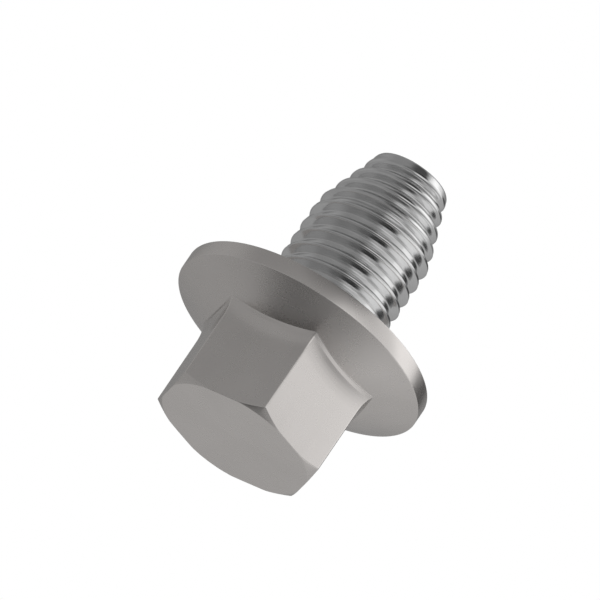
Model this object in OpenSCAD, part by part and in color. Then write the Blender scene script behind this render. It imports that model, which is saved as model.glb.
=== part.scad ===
// Hex flange self-tapping screw, size M8 by 12, one cold-forged and rolled piece.
// It stands on its head: the flat end of the head is at height 0 and the thread points up.
// All sizes are in millimetres. The Z axis is the screw's own axis.

/* [Head] */
// Width across the flats of the hexagon
flat_w = 10; // [9:0.1:12]
// Height of the flange's bearing face above the end of the head
head_h = 8.5; // [7.5:0.1:10]
// Diameter of the flange
flange_d = 16.9; // [15.5:0.1:20]
// Thickness of the flange at its rim
rim_t = 1.1; // [0.8:0.05:1.6]
// Slope of the flange's upper side, in degrees from flat
flange_slope = 26; // [20:1:32]
// Slope of the chamfer that rounds the hexagon's corners, in degrees from flat
chamfer_slope = 31; // [20:1:40]
// Diameter of the flat on the end of the head
end_flat_d = 10.2; // [8.5:0.1:11]
// Size of the small break on the flange's two edges
edge_break = 0.06; // [0.03:0.01:0.15]

/* [Shank] */
// Length of the shank from the bearing face to the tip
shank_l = 12.1; // [8:0.1:30]
// Diameter of the plain shank under the thread
blank_d = 7.2; // [6.6:0.1:7.4]
// Size of the fillet between the bearing face and the shank
neck_fillet = 0.75; // [0.6:0.05:1]
// Length of the tapered lead at the tip
lead_l = 4.45; // [2.5:0.05:6]
// Diameter of the flat tip
tip_d = 5; // [4.4:0.1:6]

/* [Thread] */
// Diameter over the crests of the thread
thread_d = 8; // [7.6:0.1:8.4]
// Distance from one crest to the next along the axis
pitch = 1.1; // [0.9:0.05:1.4]
// Depth of the groove as a share of the pitch
groove_share = 0.54; // [0.4:0.02:0.6]
// Height at which a crest crosses the X axis
crest_at = 0.47; // [0:0.01:1.4]
// Length over which the groove deepens at the head end
head_fade = 1.2; // [0.8:0.1:2]
// Length over which the groove runs out before the tip
tip_fade = 1; // [0.6:0.1:1.5]

/* [Hidden] */
// Half of the width across the flats, and the reach of a hexagon corner
flat_r = flat_w / 2;
corner_r = flat_r / cos(30);
// The cone that rounds the hexagon's corners reaches this far past them
end_r = end_flat_d / 2;
past_corner = 1;
chamfer_rise = (corner_r + past_corner - end_r) * tan(chamfer_slope);
// Flange profile: the sloped side starts inside the hexagon
flange_r = flange_d / 2;
rim_low = head_h - rim_t;
cone_start_r = 3;
cone_low = rim_low - (flange_r - cone_start_r) * tan(flange_slope);
// The hexagon stops inside the flange
hexagon_top = head_h - 0.3;
// Shank and thread sizes
tip_z = head_h + shank_l;
taper_z = tip_z - lead_l;
crest_r = thread_d / 2;
blank_r = blank_d / 2;
tip_r = tip_d / 2;
taper = (crest_r - tip_r) / lead_l;
groove_depth = groove_share * pitch;
tip_break = 0.12;
// Section of one thread, from crest to crest: share of the pitch, share of the depth.
// It has a narrow flat crest, two straight flanks and a rounded root.
half_crest = 0.06;
section = [
    [-half_crest, 0],
    [half_crest, 0],
    [0.33, 0.8],
    [0.42, 0.97],
    [0.5, 1],
    [0.58, 0.97],
    [0.67, 0.8]
];
// Flat sides round the axis, and rows of points in one turn
steps = 48;
turn_rows = len(section);
// The thread's last turn ends just under the tip and its first lies inside the flange
thread_end = tip_z - tip_break - 0.08;
turns = ceil((thread_end - head_h + 0.1) / pitch);
rows = turns * turn_rows;
seam_rows = rows + turn_rows + 1;
col_rows = rows + 1;
// Turns from the crest on the X axis up to the last one, which sets the angle of the seam
last_turn = (thread_end - crest_at) / pitch + half_crest - 1;
// Heights where the groove starts, and where it has run out
groove_low = head_h + 0.3;
groove_high = tip_z - 0.25;
// The shank's foot inside the flange
foot_z = thread_end - (turns + 1) * pitch - 0.3;
foot_r = 4.8;

// Which node to show: all, or one by name

// Smooth step from 0 to 1
function ease(t) = let (s = min(1, max(0, t))) s * s * (3 - 2 * s);

// Outside of the thread at a height: a cylinder with a tapered lead
function outside_r(z) = z < taper_z ? crest_r : crest_r - (z - taper_z) * taper;

// Cone that fills the corner between the shank and the bearing face
function neck_r(z) = min(foot_r, blank_r + head_h + neck_fillet - z);

// Radius of the threaded surface for a height and a share of the groove's depth
function surface_r(z, share) =
    let (
        low = ease((z - groove_low) / head_fade),
        high = ease((groove_high - z) / tip_fade),
        cut_r = outside_r(z) - share * groove_depth * high
    )
    max(neck_r(z), blank_r + (cut_r - blank_r) * low);

// Height of a grid point: the section climbs by one pitch in every turn
function row_z(i, j) =
    crest_at + pitch * (last_turn - turns + floor(j / turn_rows) + section[j % turn_rows][0] + i / steps);

// Angle of a step round the axis
function step_a(i) = 360 * (last_turn + i / steps);

// Grid point at step i round the axis and row j up the shank
function grid_point(i, j) =
    let (
        z = row_z(i, j),
        r = surface_r(z, section[j % turn_rows][1])
    )
    [r * cos(step_a(i)), r * sin(step_a(i)), z];

// Plain ring of points
function ring(r, z) = [for (i = [0 : steps - 1]) [r * cos(step_a(i)), r * sin(step_a(i)), z]];

// Threaded shank: one closed skin that follows the helix, with plain rings at both ends.
// The first step carries one more turn of rows, where the helix closes on itself.
module shank() {
    seam = [for (j = [0 : seam_rows - 1]) grid_point(0, j)];
    grid = [for (i = [1 : steps - 1]) for (j = [0 : rows]) grid_point(i, j)];
    foot = ring(foot_r, foot_z);
    shoulder = ring(outside_r(tip_z - tip_break), tip_z - tip_break);
    tip = ring(tip_r - tip_break, tip_z);
    first = seam_rows + (steps - 1) * col_rows;
    function at(i, j) =
        i == 0 ? j
        : i == steps ? j + turn_rows
        : seam_rows + (i - 1) * col_rows + j;
    function on(k, i) = first + k * steps + i % steps;
    skin = [
        for (i = [0 : steps - 1]) for (j = [0 : rows - 1]) each [
            [at(i, j), at(i + 1, j + 1), at(i + 1, j)],
            [at(i, j), at(i, j + 1), at(i + 1, j + 1)]
        ]
    ];
    low_skirt = [
        for (i = [0 : steps - 1]) each [
            [on(0, i), at(i, 0), on(0, i + 1)],
            [on(0, i + 1), at(i, 0), i == steps - 1 ? at(0, 0) : at(i + 1, 0)]
        ]
    ];
    low_fan = [for (j = [0 : turn_rows - 1]) [at(steps - 1, 0), at(0, j + 1), at(0, j)]];
    top_skirt = [
        for (i = [0 : steps - 1]) let (corner = i == 0 ? at(steps, rows) : at(i, rows)) each [
            [on(1, i), on(1, i + 1), corner],
            [on(1, i + 1), at(i + 1, rows), corner]
        ]
    ];
    top_fan = [for (j = [rows : rows + turn_rows - 1]) [at(1, rows), at(0, j), at(0, j + 1)]];
    rim = [for (i = [0 : steps - 1]) [on(1, i), on(2, i), on(2, i + 1), on(1, i + 1)]];
    ends = [
        [for (i = [0 : steps - 1]) on(0, i)],
        [for (i = [steps - 1 : -1 : 0]) on(2, i)]
    ];
    polyhedron(
        points = concat(seam, grid, foot, shoulder, tip),
        faces = concat(skin, low_skirt, low_fan, top_skirt, top_fan, rim, ends),
        convexity = 12
    );
}

// Hexagon, with its corners rounded at the free end by a wide cone
module hexagon() {
    intersection() {
        cylinder(h = hexagon_top, r = corner_r, $fn = 6);
        rotate_extrude($fn = 96)
            polygon([
                [0, 0],
                [end_r, 0],
                [corner_r + past_corner, chamfer_rise],
                [corner_r + past_corner, hexagon_top],
                [0, hexagon_top]
            ]);
    }
}

// Flange: a cone that rises out of the hexagon, a straight rim and the flat bearing face
module flange() {
    rotate_extrude($fn = 192)
        polygon([
            [0, cone_low],
            [cone_start_r, cone_low],
            [flange_r - edge_break, rim_low - edge_break * tan(flange_slope)],
            [flange_r, rim_low + edge_break],
            [flange_r, head_h - edge_break],
            [flange_r - edge_break, head_h],
            [0, head_h]
        ]);
}

module screw() {
    color([0.62, 0.61, 0.59])
        union() {
            hexagon();
            flange();
            shank();
        }
}

screw();
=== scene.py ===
import math

import bpy
import numpy as np
from mathutils import Matrix, Vector


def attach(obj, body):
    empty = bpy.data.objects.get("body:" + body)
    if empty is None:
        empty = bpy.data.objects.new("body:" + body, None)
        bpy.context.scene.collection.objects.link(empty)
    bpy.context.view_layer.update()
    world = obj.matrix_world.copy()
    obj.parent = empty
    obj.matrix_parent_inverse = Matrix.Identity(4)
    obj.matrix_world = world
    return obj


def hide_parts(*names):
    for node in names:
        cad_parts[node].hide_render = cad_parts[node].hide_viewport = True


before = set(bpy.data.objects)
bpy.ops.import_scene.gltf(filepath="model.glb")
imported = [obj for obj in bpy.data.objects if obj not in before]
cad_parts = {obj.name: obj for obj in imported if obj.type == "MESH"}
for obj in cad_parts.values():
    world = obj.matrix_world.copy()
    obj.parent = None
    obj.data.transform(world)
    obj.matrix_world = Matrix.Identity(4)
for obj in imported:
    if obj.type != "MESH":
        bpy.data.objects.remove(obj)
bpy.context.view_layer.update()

# The part's own sizes, in metres. The head's free end is at height 0 and the tip is on top.
MM = 0.001
FLAT_R = 5.0 * MM
HEAD_H = 8.5 * MM
FLANGE_R = 8.45 * MM
RIM_T = 1.1 * MM
FLANGE_SLOPE = math.tan(math.radians(26))
CHAMFER_SLOPE = math.tan(math.radians(31))
TIP_Z = 20.6 * MM
LEAD_L = 4.45 * MM
CREST_R = 4.0 * MM
TIP_R = 2.5 * MM
BLANK_R = 3.6 * MM
NECK_FILLET = 0.75 * MM
PITCH = 1.1 * MM
TIP_BREAK = 0.12 * MM
# The groove starts and ends at these heights, and it deepens and runs out over these lengths
GROOVE_LOW = HEAD_H + 0.3 * MM
GROOVE_HIGH = TIP_Z - 0.25 * MM
HEAD_FADE = 1.2 * MM
TIP_FADE = 1.0 * MM

# Circle on the head's end, a touch wider than the part's own. Where it meets a side of the
# hexagon it bends over softly: a higher power is sharper.
END_R = 5.12 * MM
END_BLEND = 60
# The end stays this far inside the sides, and the chamfer is at least this high
END_INSET = 0.03 * MM
CHAMFER_LEAST = 0.02 * MM
# Rings on the two flat ends, with a fan of triangles inside
END_FAN_R = 0.35 * FLAT_R
TIP_FAN_R = 0.5 * TIP_R

# Next to the flange the hexagon's sides flare out and end in a small step.
# A reach is given for the middle of a side and for a corner.
FLARE_REACH = (0.28 * MM, 0.18 * MM)
STEP_REACH = (0.31 * MM, 0.3 * MM)
FLARE_HEIGHT = 1.1 * MM
STEP_HEIGHT = 0.26 * MM
# Places along the flare's height, and the power by which it reaches out
FLARE_SHARES = [0.3, 0.5, 0.7, 0.85]
FLARE_POWER = 2.2
# A rounded corner lies about this share further out than the middle of a side
CORNER_EXCESS = 0.15

# Small roundings that the solid leaves sharp, each at most this share of the shorter edge
# beside it. The flare's is as wide as that allows.
ROUND_LIMIT = 0.45
CORNER_ROUND = 0.16 * MM
END_ROUND = 0.07 * MM
CHAMFER_ROUND = 0.08 * MM
FLARE_ROUND = 2.0 * MM
STEP_ROUND = 0.04 * MM
FLANGE_FILLET = 0.1 * MM
RIM_ROUND = 0.07 * MM
# The tip's edge, from outside in: place past the tip's radius, depth under the tip, share of the edge
# mask
TIP_EDGE = [(0.01 * MM, 0.07 * MM, 0.8), (-0.03 * MM, 0.02 * MM, 1.0), (-0.09 * MM, 0.0, 0.3)]

# Depth of the groove, and height at which a crest crosses the X axis. Both are as the
# photograph's reflections show them, a little off the part's own.
GROOVE = 0.52 * PITCH
CREST_AT = 0.505 * MM
# Rolled crest: two lips with a fine groove between them.
# Rows from its middle to its edge: share of its half width, and depth as a share of the groove.
CREST_HALF = 0.105 * MM
CREST_ROWS = [(0.0, 0.09), (0.4, 0.065), (0.8, 0.0), (1.0, 0.05)]
# The crest leans: its edge towards the tip is this much lower, as a share of the groove,
# and the lean fades down the flanks by this power
CREST_LEAN = 0.1
LEAN_FADE = 3
# Straight flanks with a small rounding before a wide root. The one towards the head is steeper.
# The rounding reaches this far to both sides, as a share of the way to the root's middle.
HEAD_FLANK = math.radians(67)
TIP_FLANK = math.radians(63)
ROOT_ROUND = 0.09
# Rows from the crest's edge to the middle of the root
FLANK_ROWS = [0.08, 0.2, 0.32, 0.41, 0.47, 0.53, 0.59, 0.65, 0.72, 0.85, 1.0]
# On the lead the thread is only half formed: over this height its section softens to wide crests,
# a wave raised to this power
SOFT_FROM = 15.9 * MM
SOFT_OVER = 1.6 * MM
SOFT_POWER = 1.5
# The edge mask on a crest fades out down to this share of the groove's depth
CREST_MASK_DEPTH = 0.3

# The thread's grid at its seam, before it is squeezed: its last crest lies this far under the
# tip's edge, and its first one at most this many pitches before the groove
GRID_GAP = 0.13 * MM
TURNS_BEFORE = 1.5
# Rows that would pass the bearing face or the tip are squeezed in beside it
LOW_SQUEEZE = 0.6 * MM
HIGH_SQUEEZE = 0.25 * MM
HIGH_SQUEEZE_FROM = 20.2 * MM
NECK_ROWS = 9

# Angles of the mesh's columns from a corner of the hexagon, in degrees: close ones beside it,
# then this many evenly spaced ones up to the middle of the side
NEAR_COLUMNS = [0.0, 0.25, 0.5, 0.8, 1.2, 1.8]
WIDE_FROM = 2.8
WIDE_COLUMNS = 14

# Steel: plain and dull colours, a lighter grey for the painted highlight on the head's rounded edges, a
# set grey for the thread's crests, and the range of its roughness
HEAD_PLAIN = (0.80, 0.765, 0.742, 1.0)
HEAD_DULL = (0.77, 0.736, 0.713, 1.0)
# Painted highlight: the head's rounded edges are mixed towards this lighter grey
HEAD_EDGE_HIGHLIGHT = (0.82, 0.79, 0.77, 1.0)
HEAD_ROUGH = (0.24, 0.30)
GRAIN_ROUGH = (-0.01, 0.01)
THREAD_PLAIN = (0.80, 0.80, 0.80, 1.0)
THREAD_DULL = (0.74, 0.74, 0.74, 1.0)
# The thread's crests and the tip's edge are mixed towards this set grey, a touch darker than the plain
# steel
THREAD_CREST_GREY = (0.76, 0.76, 0.76, 1.0)
THREAD_ROUGH = (0.12, 0.19)
# Steel reflects less at a slant than a plain mirror would
SLANT_TINT = (0.75, 0.75, 0.75, 1.0)
# Features of the noise in a metre, and height of the relief
HEAD_CLOUDS = 260.0
HEAD_HAZE = 700.0
HEAD_WAVES = 900.0
HEAD_GRAINS = 9000.0
HEAD_RELIEF = 0.0015 * MM
THREAD_CLOUDS = 350.0
# The thread's fine lines: features in a metre along them and in one pitch across them
LINES_ALONG = 150.0
LINES_ACROSS = 14.0
LINES_RELIEF = 0.004 * MM

# Studio: the floor, the world's levels and the lamps
FLOOR_SIDE = 1.2
FLOOR_Z = -0.02 * MM
FLOOR_COLOUR = (0.90, 0.90, 0.90, 1.0)
SCREW_MIDDLE = (0.0, 0.0, 0.01)
WORLD_FILL = 0.75
STUDIO_WALL = 0.30
# Each patch: name, azimuth, elevation, full inside this angle, gone outside this one, level
STUDIO_PATCHES = [
    ("low_backdrop", -170, -60, 20, 60, 0.44),
    ("ceiling", -50, 78, 15, 40, 0.25),
    ("pale_left", -122, 32, 10, 40, 0.35),
    ("bright_side", 95, -8, 15, 58, 0.70),
    ("dim_left", -10, 5, 6, 24, 0.19),
    ("side_glow", 113, 12, 8, 22, 1.0),
    ("low_glow", 62, -77, 6, 22, 0.8),
    ("front_card", 31, 4, 14, 29, 0.80),
    ("dim_front", -74, -50, 6, 24, 0.17),
    ("dim_foot", -57, -31, 8, 22, 0.03),
    ("dim_under", 3, -34, 8, 26, 0.13),
    ("dim_top", 45, 56, 8, 26, 0.14),
    ("dim_ceiling", 69, 40, 12, 21, 0.02),
    ("dim_side", 92, 52, 8, 20, 0.07),
    ("dim_corner", 134, -22, 9, 23, 0.05),
]
# Each lamp: azimuth, elevation, distance, width, height, radiance
SIDE_SOFTBOX = (97, 2, 0.15, 0.085, 0.15, 0.32)
OVERHEAD_SOFTBOX = (-60, 50, 0.25, 0.2, 0.2, 1.5)

# The photograph: a parallel view at this scale, in pixels of a 600 by 600 frame
IMAGE_SIDE = 600
PIXELS_PER_M = 16.601 / MM
VIEW_AZIMUTH = math.radians(25.52)
VIEW_ELEVATION = math.radians(-23.18)
VIEW_ROLL = math.radians(34.236)
HEAD_CENTRE_PIXEL = (234.66, 439.02)
CAMERA_DISTANCE = 0.1
CAMERA_CLIP = (0.001, 10.0)


# From 0 to 1 and level at both ends
def smooth_step(t):
    t = min(1.0, max(0.0, t))
    return t * t * (3 - 2 * t)


# Angles of the mesh's columns: closer together beside each corner of the hexagon
def column_angles():
    side = NEAR_COLUMNS + list(np.linspace(WIDE_FROM, 30.0, WIDE_COLUMNS))
    sector = side + [60.0 - a for a in reversed(side[1:-1])]
    return np.radians([60.0 * k + a for k in range(6) for a in sector])


# Distance from the axis to the rounded hexagon at an angle
def hexagon_r(angle):
    half_side = math.radians(30)
    off_corner = abs((angle + half_side) % math.radians(60) - half_side)
    centre = (FLAT_R - CORNER_ROUND) / math.cos(half_side)
    touch_across = CORNER_ROUND * math.sin(half_side)
    touch = math.atan2(touch_across, centre + CORNER_ROUND * math.cos(half_side))
    if off_corner < touch:
        across = centre * math.sin(off_corner)
        return centre * math.cos(off_corner) + math.sqrt(CORNER_ROUND ** 2 - across ** 2)
    return FLAT_R / math.cos(half_side - off_corner)


# Points of a section with its corners rounded. A corner has its distance from the axis, its
# height, its rounding, its number of points and its share of the edge mask. A point has its distance
# from the axis, its height and its share of the edge mask. The first and the last corner stay as they
# are.
def round_corners(corners):
    places = [np.array(corner[:2]) for corner in corners]
    points = [(*corners[0][:2], 0.0)]
    for k in range(1, len(corners) - 1):
        rounding, count, edge_weight = corners[k][2:]
        at = places[k]
        back_length = np.linalg.norm(places[k - 1] - at)
        onward_length = np.linalg.norm(places[k + 1] - at)
        back = (places[k - 1] - at) / back_length
        onward = (places[k + 1] - at) / onward_length
        half = math.acos(np.clip(np.dot(back, onward), -1, 1)) / 2
        cut = min(rounding / math.tan(half), ROUND_LIMIT * min(back_length, onward_length))
        radius = cut * math.tan(half)
        middle = (back + onward) / np.linalg.norm(back + onward)
        centre = at + middle * radius / math.sin(half)
        start = at + back * cut - centre
        end = at + onward * cut - centre
        turn = math.atan2(start[0] * end[1] - start[1] * end[0], np.dot(start, end))
        for n in range(count):
            share = n / (count - 1)
            cosine = math.cos(turn * share)
            sine = math.sin(turn * share)
            r = centre[0] + cosine * start[0] - sine * start[1]
            z = centre[1] + sine * start[0] + cosine * start[1]
            points.append((r, z, edge_weight * math.sin(math.pi * share)))
    points.append((*corners[-1][:2], 0.0))
    return points


# Section of the head at one angle, from the end face out to the rim and in to the neck
def head_section(angle):
    hex_r = hexagon_r(angle)
    rim_low = HEAD_H - RIM_T
    side_edge = hex_r - END_INSET
    end_edge = side_edge * (1 + (side_edge / END_R) ** END_BLEND) ** (-1 / END_BLEND)
    chamfer_top = max(CHAMFER_LEAST, (hex_r - END_R) * CHAMFER_SLOPE)
    # The flare and the step where the side meets the flange's cone
    cornerness = (hex_r / FLAT_R - 1) / CORNER_EXCESS
    flare = FLARE_REACH[0] + (FLARE_REACH[1] - FLARE_REACH[0]) * cornerness
    step = STEP_REACH[0] + (STEP_REACH[1] - STEP_REACH[0]) * cornerness
    step_foot = rim_low - (FLANGE_R - hex_r - step) * FLANGE_SLOPE
    step_top = step_foot - STEP_HEIGHT
    flare_low = step_top - FLARE_HEIGHT
    flared = [(hex_r + flare * t ** FLARE_POWER, flare_low + FLARE_HEIGHT * t) for t in FLARE_SHARES]
    return round_corners([
        (END_FAN_R, 0.0),
        (end_edge, 0.0, END_ROUND, 4, 0.7),
        (hex_r, chamfer_top, CHAMFER_ROUND, 4, 0.5),
        (hex_r, flare_low, FLARE_ROUND, 2, 0.0),
        *[(r, z, FLARE_ROUND, 2, 0.0) for r, z in flared],
        (hex_r + flare, step_top, STEP_ROUND, 4, 0.4),
        (hex_r + step, step_foot, FLANGE_FILLET, 6, 0.0),
        (FLANGE_R, rim_low, RIM_ROUND, 6, 1.0),
        (FLANGE_R, HEAD_H, RIM_ROUND, 6, 1.0),
        (BLANK_R + NECK_FILLET, HEAD_H),
    ])


# Depth on the flank and the root, for a share of the way from the crest's edge
# to the middle of the root
def flank_depth(way, flank_angle):
    slope = math.tan(flank_angle) * (PITCH / 2 - CREST_HALF) / GROOVE
    foot = 1 / slope
    if way < foot - ROOT_ROUND:
        return slope * way
    if way < foot + ROOT_ROUND:
        return slope * way - slope * (way - foot + ROOT_ROUND) ** 2 / (4 * ROOT_ROUND)
    return 1.0


# Rows of one thread, from root to root: side of the crest, share of the crest's half width,
# share of the flank, and depth as a share of the groove. The number is that of the crest's row.
def thread_rows():
    crest = [(share, 0.0, depth) for share, depth in CREST_ROWS]
    edge = CREST_ROWS[-1][1]

    def half(flank_angle):
        return crest + [(1.0, t, edge + (1 - edge) * flank_depth(t, flank_angle)) for t in FLANK_ROWS]

    rising = [(-1, *row) for row in reversed(half(HEAD_FLANK))]
    falling = [(1, *row) for row in half(TIP_FLANK)[1:-1]]
    return rising + falling, len(rising) - 1


# Radius over the crests at a height: a cylinder with a tapered lead
def outside_r(z):
    lead = max(0.0, z - (TIP_Z - LEAD_L))
    return CREST_R - lead * (CREST_R - TIP_R) / LEAD_L


# Radius of the shank at a height, for a share of the groove's depth
def surface_r(z, share):
    low = smooth_step((z - GROOVE_LOW) / HEAD_FADE)
    high = smooth_step((GROOVE_HIGH - z) / TIP_FADE)
    cut = outside_r(z) - share * GROOVE * high
    thread = BLANK_R + (cut - BLANK_R) * low
    short = max(0.0, HEAD_H + NECK_FILLET - z)
    neck = NECK_FILLET - math.sqrt(max(0.0, NECK_FILLET ** 2 - short ** 2))
    return thread + neck


# Height of a grid point: the rows that would pass the bearing face or the tip close up before it
def squeezed_z(z):
    low_end = HEAD_H + LOW_SQUEEZE
    if z < low_end:
        return HEAD_H + LOW_SQUEEZE * math.exp((z - low_end) / LOW_SQUEEZE)
    if z > HIGH_SQUEEZE_FROM:
        return HIGH_SQUEEZE_FROM + HIGH_SQUEEZE * (1 - math.exp((HIGH_SQUEEZE_FROM - z) / HIGH_SQUEEZE))
    return z


# Triangles between two upright lines of points, matched by height
def zip_lines(verts, left, right):
    faces = []
    i = k = 0
    while i < len(left) - 1 or k < len(right) - 1:
        step_left = k == len(right) - 1
        if not step_left and i < len(left) - 1:
            step_left = verts[left[i + 1]][2] < verts[right[k + 1]][2]
        if step_left:
            faces.append((left[i], right[k], left[i + 1]))
            i += 1
        else:
            faces.append((left[i], right[k], right[k + 1]))
            k += 1
    return faces


class ScrewMesh:
    """One closed skin: rings for the head, a helical grid for the thread, rings for the tip."""

    def __init__(self):
        self.verts = []
        self.faces = []
        # For the materials: a mask on edges and crests, which paints a highlight on the head's rounded
        # edges, and the place across the thread's section
        self.edge_mask = []
        self.across = []
        self.section, crest_row = thread_rows()
        self.turn_rows = len(self.section)
        angles = column_angles()
        self.columns = len(angles)
        # The seam is the column where the helix closes on itself. The columns start and end there.
        top = TIP_Z + PITCH - TIP_BREAK - GRID_GAP
        turn = (top - CREST_AT) / PITCH
        seam = int(np.searchsorted(angles, (turn % 1.0) * 2 * math.pi)) - 1
        around = np.concatenate([angles[seam:], angles[:seam] + 2 * math.pi])
        self.around = np.append(around, around[0] + 2 * math.pi)
        # Turns of the grid's first and last crest at the seam
        lowest = GROOVE_LOW - CREST_AT - TURNS_BEFORE * PITCH
        seam_turn = self.around[0] / (2 * math.pi)
        self.first_turn = math.ceil(lowest / PITCH - seam_turn)
        last_turn = math.floor(turn - seam_turn) - 1
        # The grid starts in the middle of a root and stops on a crest's lip towards the tip
        self.rows = (last_turn - self.first_turn) * self.turn_rows + crest_row + 2

    def add(self, r, angle, z, edge_mask=0.0, across=0.5):
        self.verts.append((r * math.cos(angle), r * math.sin(angle), z))
        self.edge_mask.append(edge_mask)
        self.across.append(across)
        return len(self.verts) - 1

    # Point n of each column's section, all the way round
    def ring(self, sections, n):
        return [self.add(s[n][0], a, s[n][1], s[n][2]) for s, a in zip(sections, self.around)]

    def join(self, lower, upper):
        for i in range(self.columns):
            k = (i + 1) % self.columns
            self.faces.append((lower[i], lower[k], upper[k], upper[i]))

    def cap(self, ring, z, upward):
        centre = self.add(0.0, 0.0, z)
        for i in range(self.columns):
            k = (i + 1) % self.columns
            self.faces.append((ring[i], ring[k], centre) if upward else (ring[k], ring[i], centre))

    # Grid point in column i and row j
    def grid_point(self, i, j):
        angle = self.around[i]
        side, crest_share, flank_share, depth = self.section[j % self.turn_rows]
        turn = self.first_turn + j // self.turn_rows + angle / (2 * math.pi)
        offset = side * (CREST_HALF * crest_share + (PITCH / 2 - CREST_HALF) * flank_share)
        z = squeezed_z(CREST_AT + PITCH * turn + offset)
        depth += CREST_LEAN * (1 + side * crest_share) / 2 * (1 - flank_share) ** LEAN_FADE
        soft = smooth_step((z - SOFT_FROM) / SOFT_OVER)
        wave = 0.5 - 0.5 * math.cos(2 * math.pi * offset / PITCH)
        depth += (wave ** SOFT_POWER - depth) * soft
        edge_mask = smooth_step(1.0 - depth / CREST_MASK_DEPTH)
        return self.add(surface_r(z, depth), angle, z, edge_mask, offset / PITCH)

    def head(self):
        sections = [head_section(a) for a in self.around[:-1]]
        rings = [self.ring(sections, n) for n in range(len(sections[0]))]
        self.cap(rings[0], 0.0, False)
        for lower, upper in zip(rings, rings[1:]):
            self.join(lower, upper)
        return rings[-1]

    # The first column has one more turn of rows, so that it closes the grid as the last one too
    def thread(self):
        grid = [[self.grid_point(0, j) for j in range(self.rows + self.turn_rows + 1)]]
        for i in range(1, self.columns):
            grid.append([self.grid_point(i, j) for j in range(self.rows + 1)])
        grid.append(grid[0][self.turn_rows:])
        for left, right in zip(grid, grid[1:]):
            for j in range(self.rows):
                self.faces.append((left[j], right[j], right[j + 1], left[j + 1]))
        return grid

    # The neck: points between the bearing face and the grid's first row, on the fillet
    def neck(self, bearing, grid):
        lines = []
        for i in range(self.columns):
            height = self.verts[grid[i][0]][2] - HEAD_H
            line = [bearing[i]]
            for n in range(1, NECK_ROWS):
                z = HEAD_H + height * (n / NECK_ROWS) ** 2
                line.append(self.add(surface_r(z, 1.0), self.around[i], z))
            lines.append(line + [grid[i][0]])
        for left, right in zip(lines, lines[1:]):
            for n in range(len(left) - 1):
                self.faces.append((left[n], right[n], right[n + 1], left[n + 1]))
        closing = lines[0] + grid[0][1:self.turn_rows + 1]
        self.faces += zip_lines(self.verts, lines[-1], closing)

    def tip(self, grid):
        shoulder_z = TIP_Z - TIP_BREAK
        section = [(outside_r(shoulder_z), shoulder_z, 0.2)]
        section += [(TIP_R + past, TIP_Z - under, edge_mask) for past, under, edge_mask in TIP_EDGE]
        section.append((TIP_FAN_R, TIP_Z, 0.0))
        rings = [self.ring([section] * self.columns, n) for n in range(len(section))]
        shoulder = rings[0]
        for i in range(1, self.columns):
            k = (i + 1) % self.columns
            self.faces.append((grid[i][self.rows], grid[i + 1][self.rows], shoulder[k], shoulder[i]))
        left = grid[0][self.rows:] + [shoulder[0]]
        self.faces += zip_lines(self.verts, left, [grid[1][self.rows], shoulder[1]])
        for lower, upper in zip(rings, rings[1:]):
            self.join(lower, upper)
        self.cap(rings[-1], TIP_Z, True)


def build_screw():
    skin = ScrewMesh()
    bearing = skin.head()
    head_faces = len(skin.faces)
    grid = skin.thread()
    skin.neck(bearing, grid)
    skin.tip(grid)
    mesh = bpy.data.meshes.new("screw_body")
    mesh.from_pydata(skin.verts, [], skin.faces)
    slots = [0] * head_faces + [1] * (len(skin.faces) - head_faces)
    mesh.polygons.foreach_set("material_index", slots)
    mesh.polygons.foreach_set("use_smooth", [True] * len(skin.faces))
    for name, values in (("edge_mask", skin.edge_mask), ("across", skin.across)):
        mesh.attributes.new(name, "FLOAT", "POINT").data.foreach_set("value", values)
    mesh.update()
    mesh.materials.append(head_material())
    mesh.materials.append(thread_material())
    screw = bpy.data.objects.new("screw_body", mesh)
    bpy.context.scene.collection.objects.link(screw)
    return screw


class Maker:
    """Short names for building one node tree."""

    def __init__(self, tree):
        self.nodes = tree.nodes
        self.links = tree.links

    # Links a socket to an input, or writes a number or colour on it
    def feed(self, made, name, value):
        if isinstance(value, bpy.types.NodeSocket):
            self.links.new(value, made.inputs[name])
        else:
            made.inputs[name].default_value = value

    def node(self, kind, inputs=(), **settings):
        made = self.nodes.new(kind)
        for name, value in settings.items():
            setattr(made, name, value)
        for name, value in dict(inputs).items():
            self.feed(made, name, value)
        return made

    # Noise at a place: scale is in features per unit of that place
    def noise(self, place, scale, detail=2.0, roughness=0.5):
        inputs = {"Vector": place, "Scale": scale, "Detail": detail, "Roughness": roughness}
        return self.node("ShaderNodeTexNoise", inputs).outputs["Fac"]

    # Carries a value from one range to another, clamped
    def ramp(self, value, from_low, from_high, to_low=0.0, to_high=1.0, smooth=False):
        inputs = dict(enumerate((value, from_low, from_high, to_low, to_high)))
        kind = "SMOOTHSTEP" if smooth else "LINEAR"
        return self.node("ShaderNodeMapRange", inputs, interpolation_type=kind).outputs[0]

    def math(self, operation, a, b):
        return self.node("ShaderNodeMath", {0: a, 1: b}, operation=operation).outputs[0]

    def mix_colour(self, share, a, b):
        return self.node("ShaderNodeMix", {0: share, 6: a, 7: b}, data_type="RGBA").outputs[2]

    def attribute(self, name):
        return self.node("ShaderNodeAttribute", attribute_name=name).outputs["Fac"]

    def bump(self, height, distance, strength, normal=None):
        inputs = {"Height": height, "Distance": distance, "Strength": strength}
        if normal is not None:
            inputs["Normal"] = normal
        return self.node("ShaderNodeBump", inputs).outputs["Normal"]


# A new metal, with its maker, the place on the object and the shader
def new_metal(name):
    material = bpy.data.materials.new(name)
    material.use_nodes = True
    make = Maker(material.node_tree)
    place = make.node("ShaderNodeTexCoord").outputs["Object"]
    shader = material.node_tree.nodes["Principled BSDF"]
    shader.inputs["Metallic"].default_value = 1.0
    shader.inputs["Specular Tint"].default_value = SLANT_TINT
    return material, make, place, shader
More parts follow.
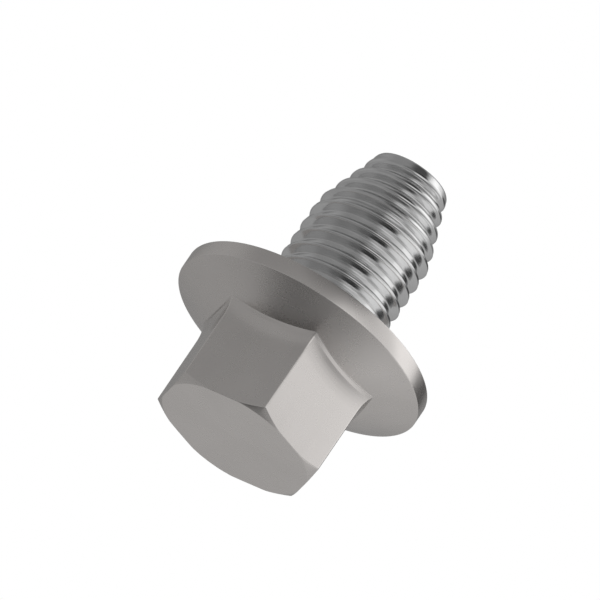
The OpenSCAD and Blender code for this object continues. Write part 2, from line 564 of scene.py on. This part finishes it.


# The head: satin steel as it leaves the forging press, a warm grey, with a painted highlight that makes
# its rounded edges a little brighter
def head_material():
    material, make, place, shader = new_metal("forged_head_steel")
    cloud = make.ramp(make.noise(place, HEAD_CLOUDS, 3.0), 0.35, 0.65)
    grain = make.noise(place, HEAD_GRAINS, 3.0, 0.6)
    colour = make.mix_colour(cloud, HEAD_DULL, HEAD_PLAIN)
    speckle = make.math("MULTIPLY", make.ramp(grain, 0.5, 0.75), 0.08)
    colour = make.mix_colour(speckle, colour, HEAD_DULL)
    # Painted highlight: the head's rounded edges turn a little lighter
    edge_mask = make.ramp(make.attribute("edge_mask"), 0.0, 1.0, 0.0, 0.6)
    make.feed(shader, "Base Color", make.mix_colour(edge_mask, colour, HEAD_EDGE_HIGHLIGHT))
    haze = make.ramp(make.noise(place, HEAD_HAZE, 4.0), 0.3, 0.7, *HEAD_ROUGH)
    fine = make.ramp(grain, 0.3, 0.7, *GRAIN_ROUGH)
    make.feed(shader, "Roughness", make.math("ADD", haze, fine))
    soft = make.bump(make.noise(place, HEAD_WAVES, 2.0), HEAD_RELIEF, 0.4)
    make.feed(shader, "Normal", make.bump(grain, HEAD_RELIEF, 0.15, soft))
    return material


# The thread: rolled steel, shinier and neutral, with fine lines that run along the helix
def thread_material():
    material, make, place, shader = new_metal("rolled_thread_steel")
    parts = make.node("ShaderNodeSeparateXYZ", {"Vector": place})
    x = make.math("MULTIPLY", parts.outputs["X"], LINES_ALONG)
    y = make.math("MULTIPLY", parts.outputs["Y"], LINES_ALONG)
    z = make.math("MULTIPLY", make.attribute("across"), LINES_ACROSS)
    lines_place = make.node("ShaderNodeCombineXYZ", {"X": x, "Y": y, "Z": z}).outputs[0]
    lines = make.noise(lines_place, 1.0, 3.0, 0.6)
    cloud = make.ramp(make.noise(place, THREAD_CLOUDS, 3.0), 0.35, 0.65)
    colour = make.mix_colour(cloud, THREAD_DULL, THREAD_PLAIN)
    colour = make.mix_colour(make.ramp(lines, 0.45, 0.7, 0.0, 0.3), colour, THREAD_DULL)
    # The crests and the tip's edge are mixed towards a set grey
    edge_mask = make.ramp(make.attribute("edge_mask"), 0.0, 1.0, 0.0, 0.7)
    make.feed(shader, "Base Color", make.mix_colour(edge_mask, colour, THREAD_CREST_GREY))
    make.feed(shader, "Roughness", make.ramp(lines, 0.3, 0.7, *THREAD_ROUGH))
    make.feed(shader, "Normal", make.bump(lines, LINES_RELIEF, 0.5))
    return material


# A pale floor with the screw's shadow on it. Only the camera sees it, and only from above.
def floor_material():
    material = bpy.data.materials.new("pale_floor")
    material.use_nodes = True
    make = Maker(material.node_tree)
    make.nodes.clear()
    paper = make.node("ShaderNodeBsdfDiffuse", {"Color": FLOOR_COLOUR}).outputs[0]
    clear = make.node("ShaderNodeBsdfTransparent").outputs[0]
    beneath = make.node("ShaderNodeNewGeometry").outputs["Backfacing"]
    camera_ray = make.node("ShaderNodeLightPath").outputs["Is Camera Ray"]
    seen = make.math("MULTIPLY", camera_ray, make.math("SUBTRACT", 1.0, beneath))
    surface = make.node("ShaderNodeMixShader", {0: seen, 1: clear, 2: paper}).outputs[0]
    make.node("ShaderNodeOutputMaterial", {"Surface": surface})
    return material


def build_floor():
    mesh = bpy.data.meshes.new("floor")
    half = FLOOR_SIDE / 2
    corners = [(-half, -half), (half, -half), (half, half), (-half, half)]
    mesh.from_pydata([(x, y, FLOOR_Z) for x, y in corners], [], [(0, 1, 2, 3)])
    floor = bpy.data.objects.new("floor", mesh)
    bpy.context.scene.collection.objects.link(floor)
    mesh.materials.append(floor_material())


# Directions of the photograph's view: right, up and back, in the part's frame
def view_axes():
    sine = math.sin(VIEW_AZIMUTH)
    cosine = math.cos(VIEW_AZIMUTH)
    flat = math.cos(VIEW_ELEVATION)
    back = Vector((sine * flat, -cosine * flat, math.sin(VIEW_ELEVATION)))
    level = Vector((cosine, sine, 0.0))
    upright = back.cross(level)
    right = level * math.cos(VIEW_ROLL) + upright * math.sin(VIEW_ROLL)
    up = upright * math.cos(VIEW_ROLL) - level * math.sin(VIEW_ROLL)
    return right, up, back


# The camera sees the centre of the head's end at its pixel
def add_camera():
    right, up, back = view_axes()
    data = bpy.data.cameras.new("camera")
    data.type = "ORTHO"
    data.ortho_scale = IMAGE_SIDE / PIXELS_PER_M
    data.clip_start, data.clip_end = CAMERA_CLIP
    half = IMAGE_SIDE / 2
    across = (half - HEAD_CENTRE_PIXEL[0]) / PIXELS_PER_M
    above = (HEAD_CENTRE_PIXEL[1] - half) / PIXELS_PER_M
    camera = bpy.data.objects.new("camera", data)
    bpy.context.scene.collection.objects.link(camera)
    turn = Matrix((right, up, back)).transposed().to_4x4()
    place = right * across + up * above + back * CAMERA_DISTANCE
    camera.matrix_world = Matrix.Translation(place) @ turn
    bpy.context.scene.camera = camera


# A direction as the photograph's camera has it, in degrees: 0, 0 points at the camera,
# azimuth turns to the right of the picture and elevation to its top
def view_direction(azimuth, elevation):
    right, up, back = view_axes()
    across = math.radians(azimuth)
    above = math.radians(elevation)
    return (right * math.sin(across) + back * math.cos(across)) * math.cos(above) + up * math.sin(above)


def grey(level):
    return (level, level, level, 1.0)


# Soft round patches of the studio's walls, laid over each other
def studio_walls(make):
    towards = make.node("ShaderNodeTexCoord").outputs["Generated"]
    walls = grey(STUDIO_WALL)
    for name, azimuth, elevation, inner, outer, level in STUDIO_PATCHES:
        inputs = {0: towards, 1: view_direction(azimuth, elevation)}
        angle = make.node("ShaderNodeVectorMath", inputs, operation="DOT_PRODUCT", label=name)
        edge = math.cos(math.radians(outer))
        full = math.cos(math.radians(inner))
        share = make.ramp(angle.outputs["Value"], edge, full, smooth=True)
        walls = make.mix_colour(share, walls, grey(level))
    return walls


# White for the camera and through glass, a pale fill on dull surfaces, and for metal
# the studio's grey walls, because the photograph's metal doesn't mirror its white background
def add_world():
    world = bpy.data.worlds.new("studio")
    bpy.context.scene.world = world
    world.use_nodes = True
    make = Maker(world.node_tree)
    make.nodes.clear()
    path = make.node("ShaderNodeLightPath")
    colour = make.mix_colour(path.outputs["Is Glossy Ray"], grey(WORLD_FILL), studio_walls(make))
    clear = make.math("MAXIMUM", path.outputs["Is Camera Ray"], path.outputs["Is Transmission Ray"])
    colour = make.mix_colour(clear, colour, grey(1.0))
    background = make.node("ShaderNodeBackground", {"Color": colour, "Strength": 1.0})
    make.node("ShaderNodeOutputWorld", {"Surface": background.outputs[0]})


# A rectangular lamp that shines on the screw, turned so that its height follows the picture's
def add_softbox(name, azimuth, elevation, distance, width, height, radiance, glossy):
    data = bpy.data.lights.new(name, "AREA")
    data.shape = "RECTANGLE"
    data.size = width
    data.size_y = height
    data.energy = radiance * math.pi * width * height
    lamp = bpy.data.objects.new(name, data)
    bpy.context.scene.collection.objects.link(lamp)
    away = view_direction(azimuth, elevation)
    upward = view_axes()[1]
    side = upward.cross(away).normalized()
    turn = Matrix((side, away.cross(side), away)).transposed().to_4x4()
    lamp.matrix_world = Matrix.Translation(Vector(SCREW_MIDDLE) + away * distance) @ turn
    lamp.visible_camera = False
    lamp.visible_glossy = glossy


def add_lights():
    add_softbox("side_softbox", *SIDE_SOFTBOX, glossy=True)
    add_softbox("overhead_softbox", *OVERHEAD_SOFTBOX, glossy=False)


def main():
    bpy.context.scene.view_settings.view_transform = "Standard"
    screw = build_screw()
    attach(screw, "root")
    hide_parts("screw")
    build_floor()
    add_camera()
    add_world()
    add_lights()


main()
